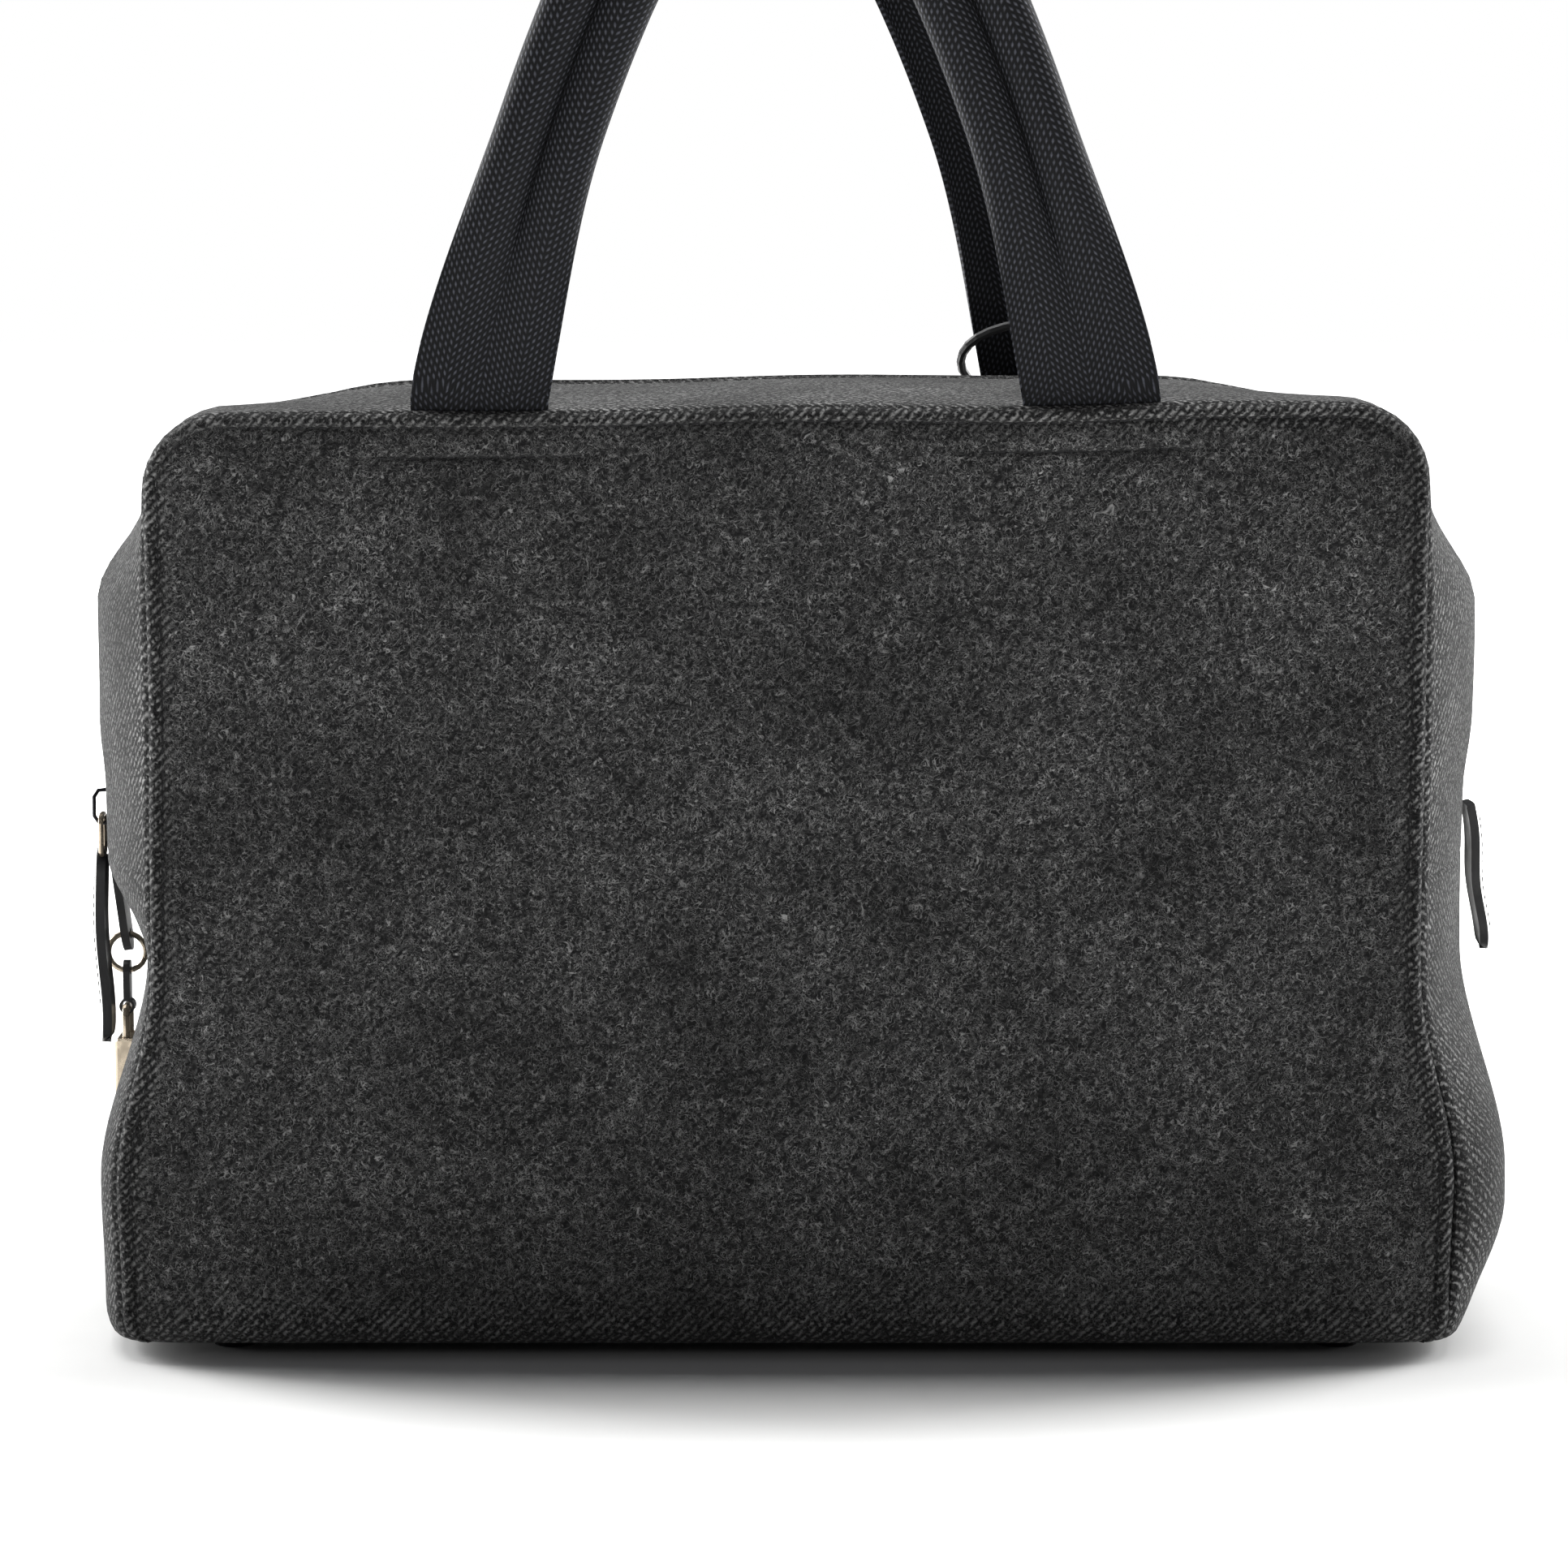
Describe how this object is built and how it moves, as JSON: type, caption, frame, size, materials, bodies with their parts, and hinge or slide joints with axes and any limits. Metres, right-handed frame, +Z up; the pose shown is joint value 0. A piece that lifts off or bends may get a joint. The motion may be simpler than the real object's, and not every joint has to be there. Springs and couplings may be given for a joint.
{
  "type": "weekender bag",
  "caption": "Soft wool zip-around travel bag with a boxy body, two upright webbing carry handles, a hanging padlock and leather zip pulls, standing on a flat base.",
  "frame": {"origin": "on the floor, at the middle of the middle foot's flat underside, under the centre of the bag", "axes": "+X to the bag's right seen from its front, +Y to the rear, +Z up"},
  "size_m": [0.4097, 0.181, 0.4571],
  "materials": {
    "wool_felt": "napped melange wool felt over twill",
    "lining_cloth": "plain woven nylon",
    "webbing": "herringbone nylon webbing",
    "zip_tape": "woven zip tape",
    "zip_metal": "black lacquered metal",
    "nickel": "warm nickel plate, satin",
    "black_leather": "smooth black calf leather",
    "stiffener_board": "pressed fibre board",
    "foot_rubber": "matte black moulded stud"
  },
  "bodies": {
    "bag_base": {"base_panel": "wool_felt", "base_board": "stiffener_board", "foot_middle": "foot_rubber", "foot_front_left": "foot_rubber", "foot_front_right": "foot_rubber", "foot_rear_left": "foot_rubber", "foot_rear_right": "foot_rubber", "lower_lining": "lining_cloth", "front_panel_lower": "wool_felt", "rear_panel_lower": "wool_felt", "side_gusset_left": "wool_felt", "side_gusset_right": "wool_felt", "zip_end_chain_left": "zip_metal", "zip_end_chain_right": "zip_metal", "zip_end_tape_left_front": "zip_tape", "zip_end_tape_left_rear": "zip_tape", "zip_end_tape_right_front": "zip_tape", "zip_end_tape_right_rear": "zip_tape", "lock_tab": "black_leather"},
    "front_half": {"front_panel_upper": "wool_felt", "front_gusset": "wool_felt", "front_zip_tape": "zip_tape", "front_zip_teeth": "zip_metal", "front_lining_panel": "lining_cloth", "front_lining_gusset": "lining_cloth", "front_handle_anchor_left": "webbing", "front_handle_anchor_right": "webbing"},
    "rear_half": {"rear_panel_upper": "wool_felt", "rear_gusset": "wool_felt", "rear_zip_tape": "zip_tape", "rear_zip_teeth": "zip_metal", "rear_lining_panel": "lining_cloth", "rear_lining_gusset": "lining_cloth", "rear_handle_anchor_left": "webbing", "rear_handle_anchor_right": "webbing", "key_strap": "black_leather"},
    "front_handle": {"front_handle": "webbing"},
    "rear_handle": {"rear_handle": "webbing"},
    "zip_slider": {"zip_slider": "zip_metal", "slider_bridge": "zip_metal"},
    "pull_link": {"pull_link": "nickel"},
    "zip_pull": {"zip_pull": "black_leather"},
    "lock_ring": {"lock_ring": "nickel"},
    "lock_strap": {"lock_strap": "black_leather"},
    "padlock_shackle": {"padlock_shackle": "nickel"},
    "padlock_body": {"padlock_body": "nickel"},
    "padlock_plug": {"padlock_plug": "nickel"},
    "zip_end_tab": {"zip_end_tab": "black_leather"},
    "key_case": {"key_case": "black_leather", "padlock_key": "nickel"}
  },
  "joints": [
    {"name": "front_mouth", "type": "hinge", "parent": "bag_base", "child": "front_half", "pos_m": [0, -0.085, 0.138], "axis": [1, 0, 0], "range_deg": [0, 20]},
    {"name": "rear_mouth", "type": "hinge", "parent": "bag_base", "child": "rear_half", "pos_m": [0, 0.085, 0.138], "axis": [-1, 0, 0], "range_deg": [0, 20]},
    {"name": "front_handle_swing", "type": "hinge", "parent": "front_half", "child": "front_handle", "pos_m": [0, -0.084, 0.2705], "axis": [1, 0, 0], "range_deg": [-22, 120]},
    {"name": "rear_handle_swing", "type": "hinge", "parent": "rear_half", "child": "rear_handle", "pos_m": [0, 0.084, 0.2705], "axis": [-1, 0, 0], "range_deg": [-22, 120]},
    {"name": "slider_travel", "type": "slide", "parent": "bag_base", "child": "zip_slider", "axis": [0, 0, 1], "range_m": [0, 0.045]},
    {"name": "link_swing", "type": "hinge", "parent": "zip_slider", "child": "pull_link", "pos_m": [-0.2004, 0, 0.1446], "axis": [0, 1, 0], "range_deg": [0, 80]},
    {"name": "pull_swing", "type": "hinge", "parent": "pull_link", "child": "zip_pull", "pos_m": [-0.2004, 0, 0.1326], "axis": [0, 1, 0], "range_deg": [0, 80]},
    {"name": "ring_swing", "type": "hinge", "parent": "bag_base", "child": "lock_ring", "pos_m": [-0.1955, 0.0145, 0.1073], "axis": [1, 0, 0], "range_deg": [0, 45]},
    {"name": "strap_swing", "type": "hinge", "parent": "lock_ring", "child": "lock_strap", "pos_m": [-0.1955, 0.0145, 0.0962], "axis": [1, 0, 0], "range_deg": [0, 45]},
    {"name": "padlock_swing", "type": "hinge", "parent": "lock_strap", "child": "padlock_shackle", "pos_m": [-0.1955, 0.0145, 0.0857], "axis": [0, 1, 0], "range_deg": [0, 75]},
    {"name": "shackle_release", "type": "slide", "parent": "padlock_shackle", "child": "padlock_body", "axis": [0, 0, -1], "range_m": [0, 0.005]},
    {"name": "key_turn", "type": "hinge", "parent": "padlock_body", "child": "padlock_plug", "pos_m": [-0.1955, 0.0145, 0.0559], "axis": [0, 0, 1], "range_deg": [0, 90]},
    {"name": "tab_lift", "type": "hinge", "parent": "bag_base", "child": "zip_end_tab", "pos_m": [0.198, 0, 0.1478], "axis": [0, -1, 0], "range_deg": [0, 45]},
    {"name": "key_case_swing", "type": "hinge", "parent": "rear_half", "child": "key_case", "pos_m": [0.077, 0.09259, 0.26204], "axis": [1, 0, 0], "range_deg": [0, 50]}
  ]
}
